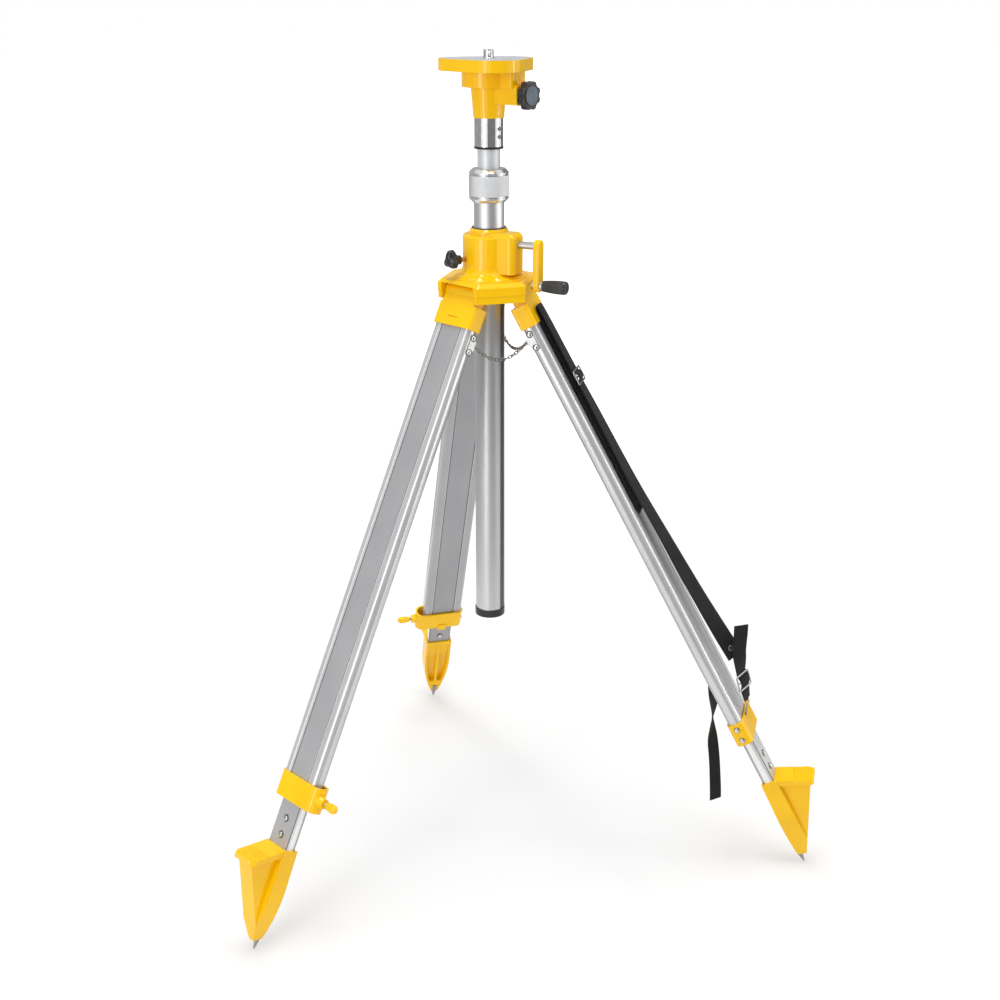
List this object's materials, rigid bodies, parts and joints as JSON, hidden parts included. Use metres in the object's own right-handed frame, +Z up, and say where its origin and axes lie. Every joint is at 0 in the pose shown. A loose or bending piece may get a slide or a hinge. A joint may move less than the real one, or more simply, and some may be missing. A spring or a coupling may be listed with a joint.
{
  "type": "elevating tripod",
  "caption": "Folding tripod with telescopic clamped legs and spiked feet; a geared crank lifts a racked column with a clamped inner tube and a flat screw-mount head.",
  "frame": {"origin": "on the ground plane through the three spike tips, under the column axis", "axes": "+Z up along the column; in plan leg 2, which carries the strap, points 15 degrees from +X towards -Y"},
  "size_m": [0.998, 0.9203, 1.4031],
  "materials": {
    "yellow_paint": "gloss powder paint",
    "steel": "zinc plated",
    "anodised": "satin anodised",
    "chrome": "polished",
    "black_plastic": "moulded",
    "rubber": "matt",
    "grey_facing": "machined",
    "grey_plastic": "moulded",
    "brass": "plain",
    "webbing": "woven"
  },
  "bodies": {
    "hub": {"hub_casting": "yellow_paint", "hub_plate": "yellow_paint", "hub_screws": "steel", "hinge_pins": "steel", "column_bushes": "black_plastic", "spreader_chain": "steel"},
    "column": {"column_tube": "anodised", "column_rack": "steel", "column_cap": "black_plastic", "column_collet": "steel"},
    "collar": {"collar_nut": "anodised"},
    "mast": {"inner_tube": "anodised", "inner_guide": "black_plastic", "head_sleeve": "chrome", "sleeve_ring": "rubber", "sleeve_screws": "steel", "head_casting": "yellow_paint", "head_pad": "grey_facing"},
    "instrument_screw": {"head_screw": "steel"},
    "head_knob": {"head_knob": "black_plastic", "knob_disc": "grey_plastic", "knob_shaft": "steel"},
    "crank": {"crank_shaft": "steel", "crank_arm": "yellow_paint", "grip_bolt": "steel"},
    "grip": {"crank_grip": "black_plastic"},
    "pinion": {"pinion_shaft": "steel"},
    "lock": {"lock_knob": "black_plastic", "lock_stud": "brass"},
    "leg_1": {"leg_1_bracket": "yellow_paint", "leg_1_upper": "anodised", "leg_1_clamp": "yellow_paint", "leg_1_fittings": "steel"},
    "wing_1": {"leg_1_wing": "yellow_paint"},
    "foot_1": {"leg_1_lower": "anodised", "leg_1_foot": "yellow_paint", "leg_1_bolts": "steel", "leg_1_spike": "steel"},
    "leg_2": {"leg_2_bracket": "yellow_paint", "leg_2_upper": "anodised", "leg_2_clamp": "yellow_paint", "leg_2_fittings": "steel", "strap_webbing": "webbing", "strap_tail": "webbing", "strap_buckles": "steel"},
    "wing_2": {"leg_2_wing": "yellow_paint"},
    "foot_2": {"leg_2_lower": "anodised", "leg_2_foot": "yellow_paint", "leg_2_bolts": "steel", "leg_2_spike": "steel"},
    "leg_3": {"leg_3_bracket": "yellow_paint", "leg_3_upper": "anodised", "leg_3_clamp": "yellow_paint", "leg_3_fittings": "steel"},
    "wing_3": {"leg_3_wing": "yellow_paint"},
    "foot_3": {"leg_3_lower": "anodised", "leg_3_foot": "yellow_paint", "leg_3_bolts": "steel", "leg_3_spike": "steel"}
  },
  "joints": [
    {"name": "column_lift", "type": "slide", "parent": "hub", "child": "column", "axis": [0, 0, 1], "range_m": [-0.015, 0.5]},
    {"name": "collar_twist", "type": "hinge", "parent": "column", "child": "collar", "pos_m": [0, 0, 1.19], "axis": [0, 0, 1], "continuous": true},
    {"name": "inner_lift", "type": "slide", "parent": "column", "child": "mast", "axis": [0, 0, 1], "range_m": [-0.025, 0.4]},
    {"name": "head_knob_spin", "type": "hinge", "parent": "mast", "child": "head_knob", "pos_m": [0, 0, 1.337], "axis": [0.7547, -0.6561, 0], "continuous": true},
    {"name": "head_screw_spin", "type": "hinge", "parent": "mast", "child": "instrument_screw", "pos_m": [0, 0, 1.39], "axis": [0, 0, 1], "continuous": true},
    {"name": "crank_spin", "type": "hinge", "parent": "hub", "child": "crank", "pos_m": [-0.00438, -0.00899, 1.102], "axis": [0.8988, -0.4384, 0], "range_deg": [-124, 4094]},
    {"name": "grip_spin", "type": "hinge", "parent": "crank", "child": "grip", "pos_m": [0.10347, -0.06159, 1.038], "axis": [0.8988, -0.4384, 0], "continuous": true},
    {"name": "pinion_spin", "type": "hinge", "parent": "hub", "child": "pinion", "pos_m": [0.02903, -0.01416, 1.102], "axis": [0.4384, 0.8988, 0], "range_deg": [-124, 4094]},
    {"name": "lock_turn", "type": "hinge", "parent": "hub", "child": "lock", "pos_m": [0, 0, 1.076], "axis": [-0.8829, -0.4695, 0], "continuous": true},
    {"name": "leg_1_fold", "type": "hinge", "parent": "hub", "child": "leg_1", "pos_m": [-0.03818, -0.03818, 1.025], "axis": [-0.7071, 0.7071, 0], "range_deg": [-25.6, 5.9], "deforming": ["spreader_chain"]},
    {"name": "leg_1_slide", "type": "slide", "parent": "leg_1", "child": "foot_1", "axis": [-0.3221, -0.3221, -0.8902], "range_m": [-0.023, 0.5]},
    {"name": "leg_1_wing_turn", "type": "hinge", "parent": "leg_1", "child": "wing_1", "pos_m": [-0.31302, -0.31302, 0.25447], "axis": [0.7071, -0.7071, 0], "continuous": true},
    {"name": "leg_2_fold", "type": "hinge", "parent": "hub", "child": "leg_2", "pos_m": [0.05216, -0.01398, 1.025], "axis": [-0.2588, -0.9659, 0], "range_deg": [-27.2, 4.3], "deforming": ["spreader_chain"]},
    {"name": "leg_2_slide", "type": "slide", "parent": "leg_2", "child": "foot_2", "axis": [0.4639, -0.1243, -0.8771], "range_m": [-0.039, 0.5]},
    {"name": "leg_2_wing_turn", "type": "hinge", "parent": "leg_2", "child": "wing_2", "pos_m": [0.44823, -0.1201, 0.26562], "axis": [0.2588, 0.9659, 0], "continuous": true},
    {"name": "leg_3_fold", "type": "hinge", "parent": "hub", "child": "leg_3", "pos_m": [-0.01398, 0.05216, 1.025], "axis": [0.9659, 0.2588, 0], "range_deg": [-23, 8.5], "deforming": ["spreader_chain"]},
    {"name": "leg_3_slide", "type": "slide", "parent": "leg_3", "child": "foot_3", "axis": [-0.1073, 0.4006, -0.91], "range_m": [0, 0.5]},
    {"name": "leg_3_wing_turn", "type": "hinge", "parent": "leg_3", "child": "wing_3", "pos_m": [-0.10543, 0.39345, 0.23763], "axis": [-0.9659, -0.2588, 0], "continuous": true}
  ],
  "couplings": [
    {"joint": "pinion_spin", "follows": "column_lift", "rad_per_m": 142.86},
    {"joint": "crank_spin", "follows": "column_lift", "rad_per_m": 142.86},
    {"joint": "head_screw_spin", "follows": "head_knob_spin", "ratio": -1}
  ]
}
